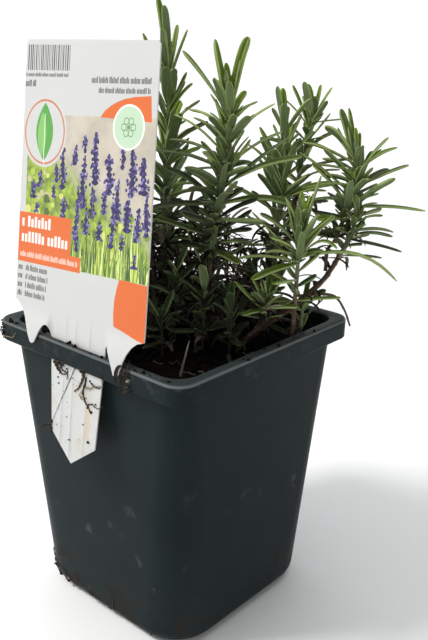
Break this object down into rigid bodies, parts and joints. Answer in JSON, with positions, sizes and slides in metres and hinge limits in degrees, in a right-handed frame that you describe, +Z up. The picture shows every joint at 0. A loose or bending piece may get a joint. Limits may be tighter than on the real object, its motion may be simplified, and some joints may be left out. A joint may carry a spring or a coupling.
{
  "type": "potted lavender",
  "caption": "Young lavender plant with leafy shoots on woody stems, growing in a square tapered nursery pot with a plant tag hooked into its rim.",
  "frame": {"origin": "middle of the pot's underside, on the surface it stands on", "axes": "+Z up; the plant tag is on the -Y side, and X and Y run square to the pot's walls"},
  "size_m": [0.1091, 0.1092, 0.2113],
  "materials": {
    "pot_plastic": "satin, lightly scuffed anthracite",
    "compost": "moist, crumbly and fibrous",
    "tag_sheet": "smooth printed sheet",
    "bark": "rough, flaking",
    "green_leaf": "matt, finely felted",
    "dried_leaf": "dry and papery"
  },
  "bodies": {
    "root": {"pot": "pot_plastic", "soil": "compost", "plant_tag": "tag_sheet", "main_stem": "bark", "left_stem": "bark", "right_stem": "bark", "back_stem": "bark", "rear_stem": "bark", "low_branch": "bark", "outer_stem": "bark", "far_left_stem": "bark", "far_back_stem": "bark", "right_fork": "bark", "dead_twig": "bark", "tall_front_shoot": "green_leaf", "tall_back_shoot": "green_leaf", "bright_tuft": "green_leaf", "rear_shoot": "green_leaf", "right_shoot": "green_leaf", "right_side_shoot": "green_leaf", "outer_shoot": "green_leaf", "low_rosette": "green_leaf", "rim_rosette": "green_leaf", "far_left_shoot": "green_leaf", "far_back_shoot": "green_leaf", "dry_sprig_1": "dried_leaf", "dry_sprig_2": "dried_leaf", "dry_sprig_3": "dried_leaf", "dry_sprig_4": "dried_leaf", "dry_sprig_5": "dried_leaf", "dry_sprig_6": "dried_leaf", "green_sprig_1": "green_leaf", "green_sprig_2": "green_leaf", "green_sprig_3": "green_leaf", "green_sprig_4": "green_leaf", "green_sprig_5": "green_leaf", "green_sprig_6": "green_leaf", "green_sprig_7": "green_leaf", "green_sprig_8": "green_leaf", "standing_dry_leaf": "dried_leaf"}
  },
  "joints": []
}
